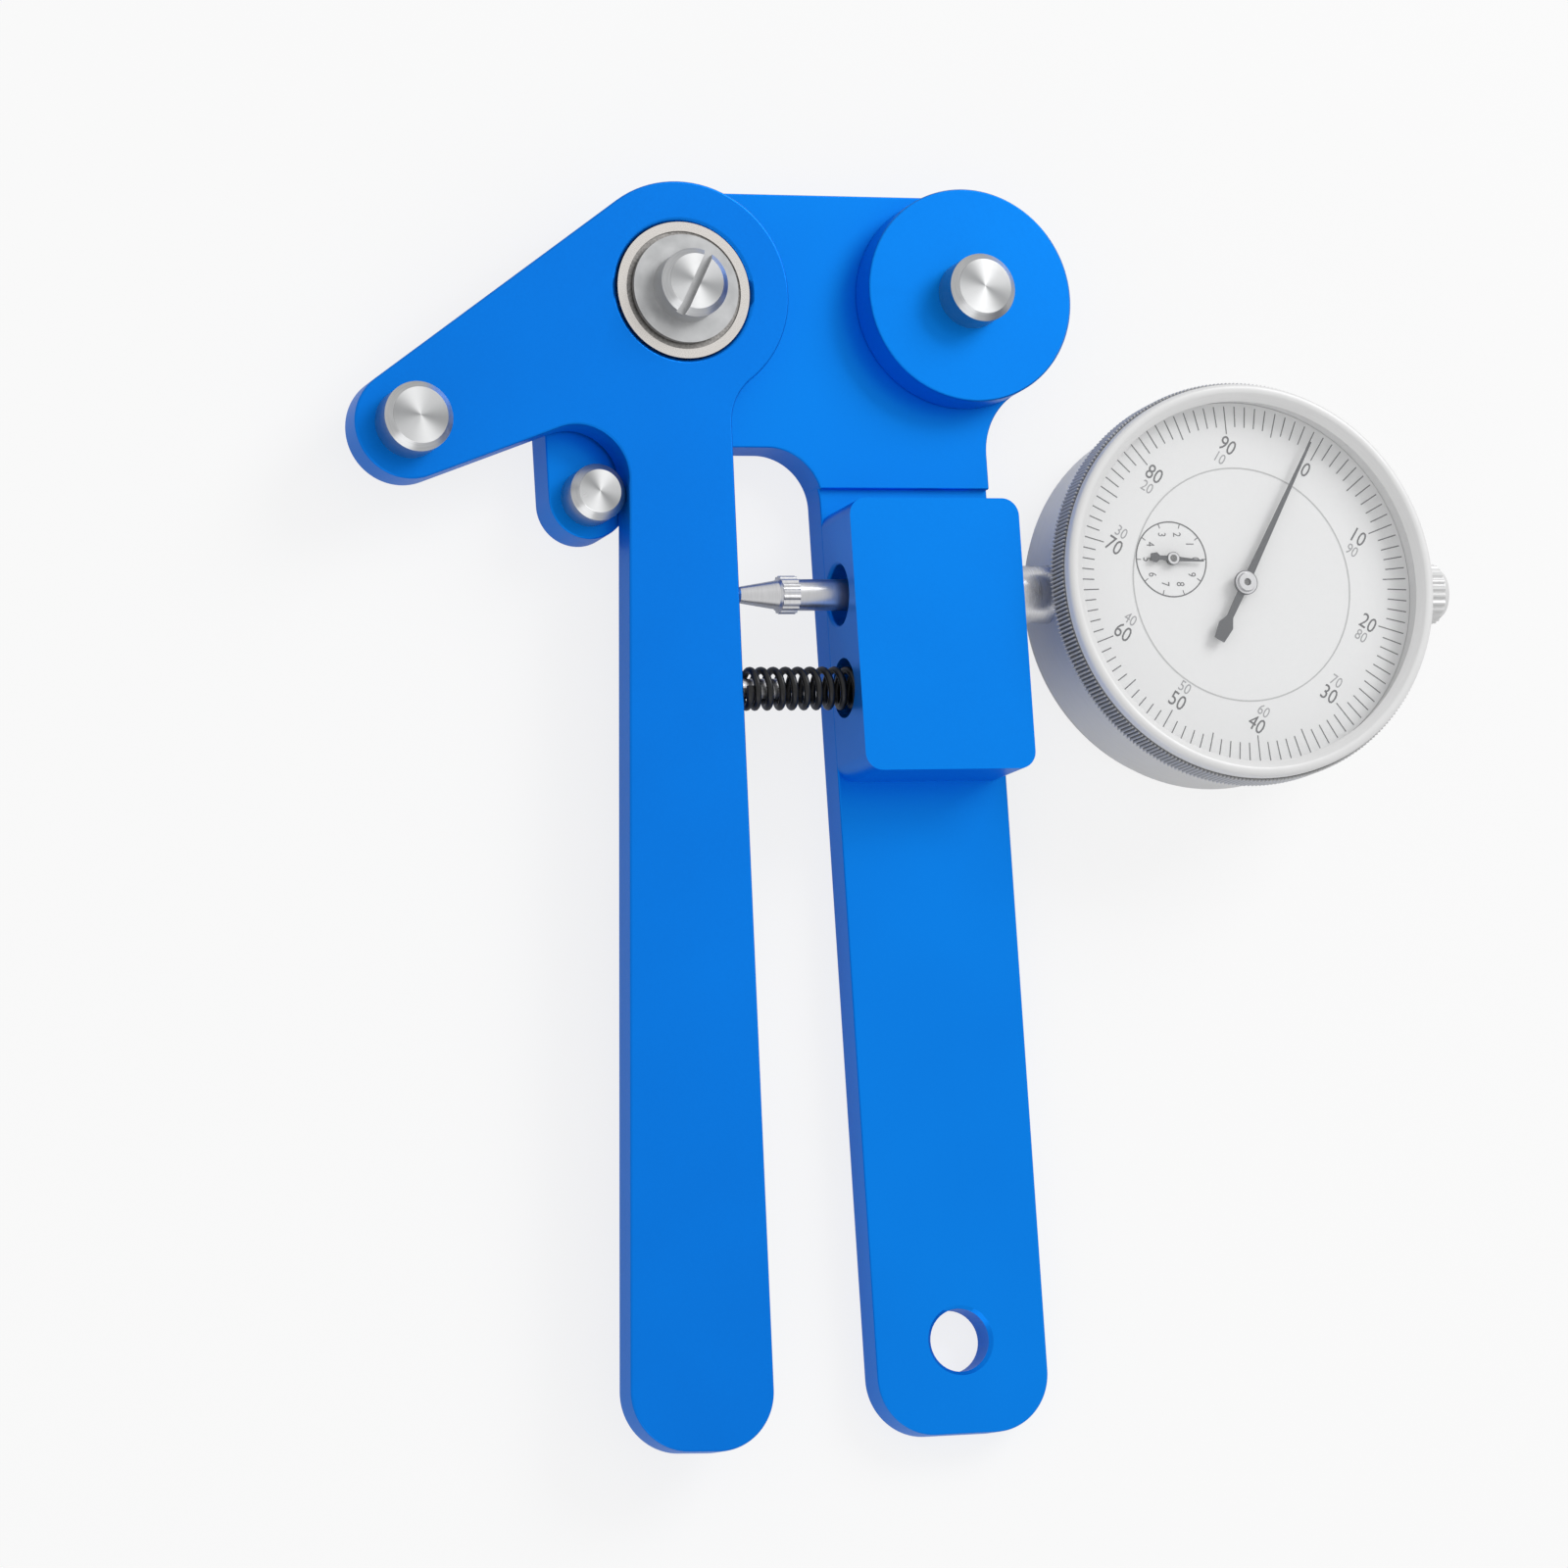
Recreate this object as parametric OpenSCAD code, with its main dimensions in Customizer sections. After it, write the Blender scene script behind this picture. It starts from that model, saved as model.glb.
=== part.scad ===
// Spoke tension meter: a frame with a long grip, a squeezed lever on a ball bearing, three spoke
// posts and a dial gauge whose plunger rides on the lever.
// The tool lies on its back. The origin is on the lever's pivot axis, at the frame's back face.
// +X runs along the gauge's plunger, +Y up the grips and +Z out of the dial.

/* [Frame plate] */
// Distance from the pivot to the right spoke post
right_post_x = 42; // [36:0.5:48]
// Radius of the head's two round ends
head_r = 15; // [12:0.25:18]
// Thickness of the head
head_t = 6; // [4:0.25:9]
// Thickness of the grip below the step
grip_t = 5; // [4:0.1:6]
// Width of the grip
grip_w = 24.8; // [18:0.2:32]
// Distance from the pivot axis to the middle of the grip
grip_x = 32.6; // [30:0.1:40]
// Distance from the pivot down to the end of the grip
grip_end = 156; // [120:1:190]
// Distance from the pivot down to the lower edge of the head
head_drop = 20.6; // [18:0.2:24]
// Distance from the pivot down to the step in the front face
step_drop = 26.3; // [24:0.1:28]
// Radius inside the corner between the head and the grip
inner_corner_r = 7.5; // [3:0.25:9]
// Radius of the hollow under the right end of the head
neck_r = 10; // [6:0.25:13]
// Corner radius at the end of the grip
grip_corner_r = 8; // [3:0.25:10]
// Diameter of the hanging hole
hang_d = 8.5; // [5:0.25:12]
// Distance from the end of the grip to the hanging hole
hang_edge = 12.6; // [9:0.1:18]
// Radius of the lug that carries the stop post
lug_r = 5.6; // [5:0.1:7]
// Slope of the lug's inner edge, in degrees
lug_slope = 42; // [35:1:60]
// Radius of the hollow between the lug and the head
lug_hollow_r = 5; // [2:0.25:8]
// Distance from the pivot down to the stop post
stop_drop = 27.8; // [26.5:0.1:31]
// Depth of the small bevel round every hole
rim_bevel = 0.5; // [0.2:0.1:0.8]

/* [Lever] */
// Thickness of the lever
lever_t = 5; // [4:0.1:8]
// Radius of the boss round the bearing
boss_r = 15.2; // [13:0.1:18]
// Radius of the arm's round tip
tip_r = 7.5; // [6:0.1:9]
// Distance from the pivot to the left post, along the arm
arm_len = 44.2; // [40:0.2:50]
// Direction of the left post from the pivot, in degrees below the lever's cross line
arm_angle = 27.6; // [24:0.2:32]
// Slope of the arm's lower edge, in degrees
arm_low_slope = 22.2; // [18:0.2:26]
// Width of the lever's grip near the boss
lever_top_w = 14.8; // [12:0.2:18]
// Width of the lever's grip at its end
lever_end_w = 20.4; // [16:0.2:26]
// Distance from the pivot to the end of the lever
lever_end = 157; // [120:1:190]
// Sideways shift of the lever's grip from the pivot
lever_shift = 0.8; // [0:0.1:2]
// Lean of the lever's grip when it rests on the stop, in degrees
rest_lean = 2.4; // [0:0.1:5]
// Radius of the hollow between the boss and the grip
hollow_r = 8; // [5:0.25:10]
// Radius of the hollow between the arm and the grip
arm_hollow_r = 7; // [4:0.25:9]
// Corner radius at the end of the lever
lever_corner_r = 8; // [4:0.25:9]

/* [Posts] */
// Diameter of the spoke posts
post_d = 9.5; // [7:0.1:11]
// Height of the spoke posts above the lever
post_h = 5.5; // [4:0.1:9]
// Bevel on the posts' ends
post_bevel = 0.95; // [0.3:0.05:1.5]
// Diameter of the posts' shanks
shank_d = 6; // [4:0.1:6.5]
// Diameter of the stop post
stop_d = 7.8; // [6.5:0.1:9]
// Height of the stop post above the head
stop_h = 5.2; // [5:0.1:9]
// Diameter of the collar on the pivot post
collar_d = 15; // [13:0.1:15.6]
// Thickness of that collar
collar_t = 0.8; // [0.5:0.05:1.2]
// Width of the screwdriver slot in the pivot post
slot_w = 1.2; // [0.8:0.1:2]
// Depth of that slot
slot_depth = 1.6; // [1:0.1:2.5]
// Direction of that slot, in degrees
slot_angle = 62; // [0:1:180]

/* [Bearing] */
// Outer diameter of the bearing
bearing_od = 19; // [17:0.5:22]
// Bore of the bearing
bearing_id = 8; // [7:0.5:8]
// Radial thickness of the outer ring at its edge
outer_ring_t = 1.3; // [1.1:0.05:1.4]
// Diameter of the balls
ball_d = 3; // [2.4:0.1:3.2]
// Number of balls
ball_count = 7; // [6:1:8]
// Thickness of the shim under the inner ring
shim_t = 0.4; // [0.3:0.05:0.8]

/* [Gauge block] */
// Distance from the pivot down to the block's upper end
block_top = 29.5; // [27.5:0.1:31]
// Length of the block down the grip
block_len = 37.4; // [34:0.2:44]
// Height of the block above the grip
block_h = 10.9; // [9.5:0.1:14]
// Corner radius of the block
block_corner_r = 2.4; // [1:0.1:3.5]
// Distance from the pivot down to the plunger's axis
gauge_drop = 41.7; // [40:0.1:43]
// Height of the plunger's axis above the grip's front face
axis_rise = 4.2; // [4.15:0.05:4.6]
// Diameter of the screws that hold the block
screw_d = 4; // [3:0.5:4]
// Depth of their holes in the block
screw_depth = 6; // [4:0.5:8]
// Room left in those holes past the screws
screw_room = 0.5; // [0.4:0.1:1]

/* [Spring] */
// Distance from the pivot down to the spring's axis
spring_drop = 54.6; // [53:0.1:56]
// Outer diameter of the spring
spring_d = 6; // [5:0.1:7]
// Diameter of the spring's wire
wire_d = 1; // [0.7:0.05:1.05]
// Number of coils
coils = 13; // [8:1:14]
// Diameter of the spring's pocket in the block
pocket_d = 8.2; // [7.4:0.1:8.4]
// Depth of that pocket
pocket_depth = 8; // [7:0.1:9.5]
// Diameter of the pin inside the spring
guide_pin_d = 2.8; // [2:0.1:3]

/* [Dial gauge] */
// Distance from the pivot to the middle of the dial
gauge_x = 77.2; // [76:0.1:82]
// Diameter of the gauge's case
case_d = 52.8; // [52:0.1:54]
// Diameter of the bezel over its knurl
bezel_d = 56; // [55:0.1:58]
// Distance from the outside of the knurl in to the bezel's seat on the case
bezel_wall = 3.1; // [2.8:0.1:3.4]
// Diameter of the stem
stem_d = 8; // [7.5:0.1:8]
// Diameter of the spindle
spindle_d = 4.3; // [3.8:0.1:4.5]
// Thickness of the case's wall
case_wall = 1.4; // [1:0.1:1.8]
// Height of the case's back face above the table
case_lift = 0.3; // [0.1:0.1:1]
// Height of the dial face above the plunger's axis
dial_rise = 7.8; // [7.8:0.1:9]
// Height from the dial face up to the bezel's front edge
bezel_rise = 4; // [3.4:0.1:4.4]
// Diameter of the fixed middle of the dial
inner_dial_d = 32.6; // [28:0.2:36]
// Depth of the knurl on the bezel
knurl_depth = 0.45; // [0.2:0.05:0.8]
// Number of ribs in that knurl
knurl_count = 120; // [60:10:160]
// Diameter of the cap on the spindle
cap_d = 8.4; // [7:0.1:10]
// Length of that cap
cap_len = 6; // [5:0.1:9]
// Length of the contact point from its collar to its tip
tip_len = 6.2; // [5.5:0.1:6.8]
// Distance that the small hand stands above the plunger's axis
small_hand_rise = 3.5; // [3.4:0.05:3.6]
// Length of the main pointer from its hub
pointer_len = 23; // [18:0.5:23.5]

/* [Movement] */
// Tooth size of the wheel and the centre pinion
wheel_module = 0.2; // [0.19:0.005:0.21]
// Gap between the movement's plates and the narrowest place of the case
plate_gap = 1.7; // [1.2:0.1:2.5]
// Distance from the plates' edge in to the upper and lower pillars
pillar_inset = 5; // [4:0.1:6]
// Distance from the plates' edge in to the side pillars
side_pillar_inset = 6; // [5:0.1:7]
// Distance of the side pillars below the hub
side_pillar_drop = 9; // [8:0.1:10]
// Distance from the edge of the dial's fixed middle in to its feet
foot_inset = 3.3; // [2:0.1:5]
// Diameter of the screws in the back cover
cover_screw_d = 2; // [1.5:0.1:2.5]
// Reach of those screws inside the case
cover_screw_in = 2.5; // [1.5:0.1:4]

/* [Hidden] */
wheel_teeth = 100;
centre_teeth = 10;
rack_teeth = 16;
travel_per_turn = 1;
rack_pitch = travel_per_turn * wheel_teeth / centre_teeth / rack_teeth;

$fn = 96;
blue = [0.0, 0.45, 0.9];
steel = [0.75, 0.75, 0.77];
fit = 0.05;
seat = 0.3;
over = 1;

// Levels
lever_z = head_t + shim_t;
lever_top = lever_z + lever_t;
post_top = lever_top + post_h;
axis_z = grip_t + axis_rise;
dial_z = axis_z + dial_rise;
bezel_top = dial_z + bezel_rise;
dial_t = 0.3;

// Plane geometry
function dir(a) = [cos(a), sin(a)];
function left_of(u) = [-u[1], u[0]];
function cross2(u, v) = u[0] * v[1] - u[1] * v[0];
function meet(p, u, q, v) = p + u * cross2(q - p, v) / cross2(u, v);
function turn(p, a) = [p[0] * cos(a) - p[1] * sin(a), p[0] * sin(a) + p[1] * cos(a)];

// Centre of a round of radius r between the line p + t u and the line q + t v, each on its left
function round_between(p, u, q, v, r) =
  meet(p + left_of(u) * r, u, q + left_of(v) * r, v);

// Points of an arc of radius r about c, from angle a0 to angle a1
function arc(c, r, a0, a1) =
  let (n = ceil(abs(a1 - a0) / 4)) [for (i = [0 : n]) c + dir(a0 + (a1 - a0) * i / n) * r];

// ---------------------------------------------------------------- lever outline
// Drawn with its grip straight down, then leaned over to its rest
left_post = turn([-arm_len, 0], arm_angle);
left_post_rest = turn(left_post, -rest_lean);
taper = atan((lever_end_w - lever_top_w) / 2 / (lever_end - head_drop));
grip_dir_l = dir(-90 - taper);
grip_dir_r = dir(-90 + taper);
grip_l = [-lever_shift - lever_top_w / 2, -head_drop];
grip_r = [-lever_shift + lever_top_w / 2, -head_drop];
low_dir = dir(arm_low_slope);
low_start = left_post - left_of(low_dir) * tip_r;

// Centre of the hollow that touches the round boss and the right edge of the grip
boss_hollow_c =
  let (
    base = grip_r - left_of(-grip_dir_r) * hollow_r,
    side = sqrt(pow(boss_r + hollow_r, 2) - pow(cross2(grip_dir_r, base), 2))
  ) base + grip_dir_r * (side - base * grip_dir_r);

module lever_outline() {
  top_angle = 180 + arm_angle - acos((boss_r - tip_r) / arm_len);
  end_p = [0, -lever_end];
  hollow_turn = atan2(boss_hollow_c[1], boss_hollow_c[0]);
  polygon(concat(
    arc([0, 0], boss_r, hollow_turn, top_angle),
    arc(left_post, tip_r, top_angle, 270 + arm_low_slope),
    arc(round_between(low_start, -low_dir, grip_l, -grip_dir_l, arm_hollow_r), arm_hollow_r,
      90 + arm_low_slope, -taper),
    arc(round_between(end_p, [1, 0], grip_l, grip_dir_l, lever_corner_r), lever_corner_r,
      180 - taper, 270),
    arc(round_between(end_p, [1, 0], grip_r, -grip_dir_r, lever_corner_r), lever_corner_r,
      270, 360 + taper),
    arc(boss_hollow_c, hollow_r, 180 + taper, 180 + hollow_turn)
  ));
}

// Right edge of the resting lever: its place at a distance below the pivot
edge_dir = turn(grip_dir_r, -rest_lean);
edge_point = turn(grip_r, -rest_lean);
function lever_right_x(drop) = meet(edge_point, edge_dir, [0, -drop], [1, 0])[0];
left_edge_dir = turn(grip_dir_l, -rest_lean);
left_edge_point = turn(grip_l, -rest_lean);
function lever_left_x(drop) = meet(left_edge_point, left_edge_dir, [0, -drop], [1, 0])[0];

// ---------------------------------------------------------------- frame outline
grip_left = grip_x - grip_w / 2;
grip_right = grip_x + grip_w / 2;
stop_gap = 0.2;
stop_x = lever_left_x(stop_drop) - (stop_d / 2 + stop_gap) / cos(rest_lean + taper);
stop = [stop_x, -stop_drop];
lug_left = stop_x - lug_r;
lug_shoulder = -head_r * 0.55;

module frame_outline() {
  lug_edge = stop + dir(lug_slope - 90) * lug_r;
  neck_c = [
    grip_right + neck_r,
    -sqrt(pow(head_r + neck_r, 2) - pow(grip_right + neck_r - right_post_x, 2))
  ];
  neck_turn = atan2(-neck_c[1], right_post_x - neck_c[0]);
  inner_c = [grip_left - inner_corner_r, -head_drop - inner_corner_r];
  corner_y = -grip_end + grip_corner_r;
  polygon(concat(
    arc([0, 0], head_r, 90, 165),
    [[lug_left, lug_shoulder]],
    arc(stop, lug_r, 180, 270 + lug_slope),
    arc(round_between(lug_edge, -dir(lug_slope), [0, -head_drop], [-1, 0], lug_hollow_r),
      lug_hollow_r, 90 + lug_slope, 90),
    arc(inner_c, inner_corner_r, 90, 0),
    arc([grip_left + grip_corner_r, corner_y], grip_corner_r, 180, 270),
    arc([grip_right - grip_corner_r, corner_y], grip_corner_r, 270, 360),
    arc(neck_c, neck_r, 180, neck_turn),
    arc([right_post_x, 0], head_r, neck_turn - 180, 90)
  ));
}

// ---------------------------------------------------------------- shared solids
// A mouth with a bevel b for a hole of radius r, cut downwards from the origin
module mouth(r, b) {
  translate([0, 0, -b]) cylinder(h = b + fit, r1 = r, r2 = r + b + fit);
}

// A turned post on the origin: radius r, height h, with a bevelled end and a shank below
module turned_post(r, h, shank_len) {
  rotate_extrude()
    polygon([
      [0, -shank_len], [shank_d / 2 - fit / 2, -shank_len], [shank_d / 2 - fit / 2, 0],
      [r, 0], [r, h - post_bevel], [r - post_bevel, h], [0, h]
    ]);
}

module along_x(x) {
  translate([x, -gauge_drop, axis_z]) rotate([0, 90, 0]) children();
}

// Outline of a ribbed round: n ribs between radius r - depth and radius r
module ribbed(r, depth, n) {
  polygon([
    for (i = [0 : n - 1], k = [0, 1, 2, 3])
      dir(360 * (i + [0, 0.3, 0.5, 0.8][k]) / n) * (k == 1 || k == 2 ? r - depth : r)
  ]);
}

// Outline of a small gear: pitch radius r, n teeth, module m
module gear(r, n, m, phase) {
  top = r + 0.9 * m;
  root = r - 1.25 * m;
  polygon([
    for (i = [0 : n - 1], k = [0 : 3])
      dir(phase + 360 * (i + [-0.30, -0.10, 0.10, 0.30][k]) / n) * (k == 1 || k == 2 ? top : root)
  ]);
}

// ---------------------------------------------------------------- frame pieces
disc_t = lever_top - head_t;
blind = head_t - 1;
hang_y = -grip_end + hang_edge;
grip_screw_y = [-(block_top + 3.9), -(block_top + block_len - 3.9)];
screw_head_r = screw_d;

module frame_plate() {
  color(blue) difference() {
    linear_extrude(head_t) frame_outline();
    translate([grip_left - inner_corner_r, -grip_end - over, grip_t])
      cube([grip_w + inner_corner_r + over, grip_end - step_drop + over, head_t - grip_t + over]);
    translate([grip_x, hang_y, -over]) cylinder(h = grip_t + 2 * over, d = hang_d);
    translate([grip_x, hang_y, grip_t]) mouth(hang_d / 2, rim_bevel);
    translate([grip_x, hang_y, 0]) mirror([0, 0, 1]) mouth(hang_d / 2, rim_bevel);
    for (p = [[0, 0], [right_post_x, 0], stop])
      translate([p[0], p[1], head_t - blind]) cylinder(h = blind + over, d = shank_d);
    for (y = grip_screw_y) translate([grip_x, y, 0]) screw_hole();
  }
}

// A countersunk clearance hole, cut from the back
module screw_hole() {
  translate([0, 0, -over]) cylinder(h = grip_t + 2 * over, d = screw_d + 2 * fit);
  sunk_r = screw_head_r + 3 * fit;
  translate([0, 0, -over])
    cylinder(h = sunk_r + over - screw_d / 2, r1 = sunk_r + over, r2 = screw_d / 2);
}

module spacer_disc() {
  color(blue) translate([right_post_x, 0, head_t]) difference() {
    rotate_extrude()
      polygon([
        [0, 0], [head_r, 0], [head_r, disc_t - rim_bevel / 2],
        [head_r - rim_bevel / 2, disc_t], [0, disc_t]
      ]);
    translate([0, 0, -over]) cylinder(h = disc_t + 2 * over, d = shank_d);
  }
}

module right_spoke_post() {
  color(steel) translate([right_post_x, 0, lever_top])
    turned_post(post_d / 2, post_h, disc_t + blind - seat);
}

module stop_post() {
  color(steel) translate([stop[0], stop[1], head_t])
    turned_post(stop_d / 2, stop_h, blind - seat);
}

module pivot_post() {
  r = post_d / 2;
  journal = bearing_id / 2 - fit / 2;
  collar_gap = 0.2;
  color(steel) difference() {
    rotate_extrude()
      polygon([
        [0, head_t - blind + seat], [shank_d / 2 - fit / 2, head_t - blind + seat],
        [shank_d / 2 - fit / 2, head_t], [journal, head_t], [journal, lever_top],
        [inner_ring_r - 0.2, lever_top], [inner_ring_r - 0.2, lever_top + collar_gap],
        [collar_d / 2, lever_top + collar_gap], [collar_d / 2, lever_top + collar_gap + collar_t],
        [r, lever_top + collar_gap + collar_t], [r, post_top - post_bevel],
        [r - post_bevel, post_top], [0, post_top]
      ]);
    rotate([0, 0, slot_angle]) translate([-r - over, -slot_w / 2, post_top - slot_depth])
      cube([2 * (r + over), slot_w, slot_depth + over]);
  }
}

module pivot_shim() {
  color(steel) translate([0, 0, head_t]) difference() {
    cylinder(h = shim_t, r = inner_ring_r - 0.2);
    translate([0, 0, -over]) cylinder(h = shim_t + 2 * over, d = bearing_id);
  }
}

// ---------------------------------------------------------------- bearing
race_r = (bearing_od / 2 + bearing_id / 2) / 2;
inner_ring_r = race_r - ball_d * 0.32;
outer_ring_r = race_r + ball_d * 0.32;
mid_z = lever_z + lever_t / 2;
groove_r = ball_d / 2 + 0.06;
shield_t = 0.35;

module race_ring(r_in, r_out) {
  rotate_extrude() difference() {
    translate([r_in, lever_z]) square([r_out - r_in, lever_t]);
    translate([race_r, mid_z]) circle(groove_r, $fn = 48);
  }
}

module bearing_inner_ring() {
  color(steel) race_ring(bearing_id / 2, inner_ring_r);
}

module bearing_outer_ring() {
  lip = bearing_od / 2 - outer_ring_t;
  color(steel) difference() {
    race_ring(outer_ring_r, bearing_od / 2 - fit / 2);
    translate([0, 0, lever_top - shield_t - 0.25])
      cylinder(h = shield_t + 0.25 + over, r = lip);
  }
}

module bearing_shield() {
  lip = bearing_od / 2 - outer_ring_t - fit / 2;
  color([0.2, 0.2, 0.22]) translate([0, 0, lever_top - shield_t - 0.25]) difference() {
    cylinder(h = shield_t, r = lip);
    translate([0, 0, -over]) cylinder(h = shield_t + 2 * over, r = inner_ring_r + 0.15);
  }
}

module bearing_balls() {
  color("silver") for (i = [0 : ball_count - 1])
    translate([race_r * cos(360 * i / ball_count), race_r * sin(360 * i / ball_count), mid_z])
      sphere(d = ball_d, $fn = 32);
}

// A crown cage: a ring under the balls with a post between each two of them
module ball_cage() {
  crown_t = 0.55;
  crown_z = mid_z - ball_d / 2 - crown_t - 0.1;
  crown_post_r = 0.6;
  color([0.6, 0.5, 0.3]) {
    translate([0, 0, crown_z]) difference() {
      cylinder(h = crown_t, r = outer_ring_r - 0.15);
      translate([0, 0, -over]) cylinder(h = crown_t + 2 * over, r = inner_ring_r + 0.15);
    }
    for (i = [0 : ball_count - 1]) rotate([0, 0, 360 * (i + 0.5) / ball_count])
      translate([race_r, 0, crown_z]) cylinder(h = mid_z + 0.4 - crown_z, r = crown_post_r, $fn = 32);
  }
}

// ---------------------------------------------------------------- lever pieces
spring_x0 = lever_right_x(spring_drop) + seat;
pin_depth = 4;
pin_out = 6;

module lever_plate() {
  color(blue) difference() {
    translate([0, 0, lever_z]) rotate([0, 0, -rest_lean]) linear_extrude(lever_t) lever_outline();
    translate([0, 0, lever_z - over]) cylinder(h = lever_t + 2 * over, d = bearing_od);
    translate([0, 0, lever_top]) mouth(bearing_od / 2, rim_bevel * 1.4);
    translate([left_post_rest[0], left_post_rest[1], lever_z + 1])
      cylinder(h = lever_t, d = shank_d);
    translate([lever_right_x(spring_drop) - pin_depth, -spring_drop, axis_z])
      rotate([0, 90, 0]) cylinder(h = pin_depth + over, d = guide_pin_d);
  }
}

module left_spoke_post() {
  color(steel) translate([left_post_rest[0], left_post_rest[1], lever_top])
    turned_post(post_d / 2, post_h, lever_t - 1 - seat);
}

module spring_guide_pin() {
  color(steel) translate([lever_right_x(spring_drop) - pin_depth + seat, -spring_drop, axis_z])
    rotate([0, 90, 0]) rotate_extrude()
      polygon([
        [0, 0], [guide_pin_d / 2 - fit / 2, 0],
        [guide_pin_d / 2 - fit / 2, pin_depth + pin_out - 0.5],
        [guide_pin_d / 2 - 0.5, pin_depth + pin_out], [0, pin_depth + pin_out]
      ]);
}

// ---------------------------------------------------------------- return spring
pocket_end = grip_left + pocket_depth;
spring_x1 = pocket_end - seat;
coil_r = (spring_d - wire_d) / 2;
coil_start = spring_x0 + wire_d * 1.5;
coil_end = spring_x1 - wire_d * 1.5;
rings = 8;
sides = 6;
wire_path = concat(
  [[spring_x0, 0, coil_r], [spring_x0 + wire_d, 0, coil_r]],
  [for (i = [0 : coils * rings])
    let (t = i / (coils * rings), a = 360 * i / rings)
      [coil_start + (coil_end - coil_start) * t, coil_r * sin(a), coil_r * cos(a)]],
  [[spring_x1 - wire_d, 0, coil_r], [spring_x1, 0, coil_r]]
);
last = len(wire_path) - 1;
function unit(v) = v / norm(v);
function heading(i) =
  i <= 1 || i >= last - 1 ? [1, 0, 0] : unit(wire_path[i + 1] - wire_path[i - 1]);
function ring_up(i) = unit([0, wire_path[i][1], wire_path[i][2]]);
function wire_ring(i) =
  let (h = heading(i), side = unit(cross(h, ring_up(i))), up = cross(side, h))
    [for (k = [0 : sides - 1])
      wire_path[i] + (up * cos(360 * k / sides) + side * sin(360 * k / sides)) * wire_d / 2];
spring_gap = min([for (i = [0 : last], j = [i + rings / 2 : last])
  if (j <= i + 2 * rings && j <= last && j > i + rings / 2) norm(wire_path[i] - wire_path[j])])
  - wire_d;
echo(least_gap_of_spring_to_itself = spring_gap);

module return_spring() {
  points = [for (i = [0 : last]) each wire_ring(i)];
  faces = concat(
    [for (i = [0 : last - 1], k = [0 : sides - 1], h = [0, 1])
      let (a = i * sides + k, b = i * sides + (k + 1) % sides)
        h == 0 ? [a, b, a + sides] : [b, b + sides, a + sides]],
    [for (k = [1 : sides - 2]) [0, k + 1, k]],
    [for (k = [1 : sides - 2]) [last * sides, last * sides + k, last * sides + k + 1]]
  );
  color([0.08, 0.08, 0.08]) translate([0, -spring_drop, axis_z])
    polyhedron(points = points, faces = faces);
}

// ---------------------------------------------------------------- gauge block
grub_x = grip_x + 5;
grub_d = 4;
module block_outline() {
  r = block_corner_r;
  y0 = -block_top - block_len;
  translate([grip_left + r, y0]) square([grip_w - 2 * r, block_len]);
  translate([grip_left, y0 + r]) square([grip_w, block_len - 2 * r]);
  for (x = [grip_left + r, grip_right - r], y = [y0 + r, -block_top - r])
    translate([x, y]) circle(r, $fn = 48);
}

module gauge_block() {
  color(blue) difference() {
    translate([0, 0, grip_t]) linear_extrude(block_h) block_outline();
    along_x(grip_left - over) cylinder(h = grip_w + 2 * over, d = stem_d + 2 * fit);
    along_x(grip_left) mirror([0, 0, 1]) mouth(stem_d / 2 + fit, rim_bevel);
    translate([grip_left - over, -spring_drop, axis_z + 0.2]) rotate([0, 90, 0])
      cylinder(h = pocket_depth + over, d = pocket_d);
    for (y = grip_screw_y) translate([grip_x, y, grip_t - over])
      cylinder(h = over + screw_depth, d = screw_d);
    translate([grub_x, -block_top + over, axis_z]) rotate([90, 0, 0])
      cylinder(h = gauge_drop - block_top, d = grub_d);
  }
}

// A countersunk screw standing on its head
module flat_screw(len) {
  r = screw_d / 2 - fit / 2;
  hex_r = 1.3;
  difference() {
    rotate_extrude()
      polygon([[0, 0], [screw_head_r - fit, 0], [r, r], [r, len], [0, len]]);
    translate([0, 0, -fit]) cylinder(h = 1.4, r = hex_r, $fn = 6);
  }
}

module block_screws() {
  color([0.25, 0.25, 0.27]) for (y = grip_screw_y)
    translate([grip_x, y, fit * 2]) flat_screw(grip_t + screw_depth - screw_room);
}

module stem_grub_screw() {
  len = gauge_drop - block_top - stem_d / 2 - 2;
  color([0.25, 0.25, 0.27])
    translate([grub_x, -gauge_drop + stem_d / 2 + seat, axis_z]) rotate([-90, 0, 0]) difference() {
      cylinder(h = len, r = grub_d / 2 - fit / 2);
      translate([0, 0, len - 1.6]) cylinder(h = 2, r = 1.1, $fn = 6);
    }
}

// ---------------------------------------------------------------- dial gauge
case_r = case_d / 2;
neck_out = bezel_d / 2 - bezel_wall;
neck_in = neck_out - 1.2;
case_rim = dial_z - 2.3;
neck_top = dial_z - 0.4;
cover_t = 1.2;
cover_top = case_lift + cover_t;
stem_start = grip_left + 3.5;
sleeve_end = gauge_x + case_r + 1.4;
hub = [gauge_x, -gauge_drop];
wheel_reach = wheel_module * (wheel_teeth + centre_teeth) / 2;
small_hub = hub
  + [-sqrt(wheel_reach * wheel_reach - small_hand_rise * small_hand_rise), small_hand_rise];

module at_hub(z) {
  translate([hub[0], hub[1], z]) children();
}

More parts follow.
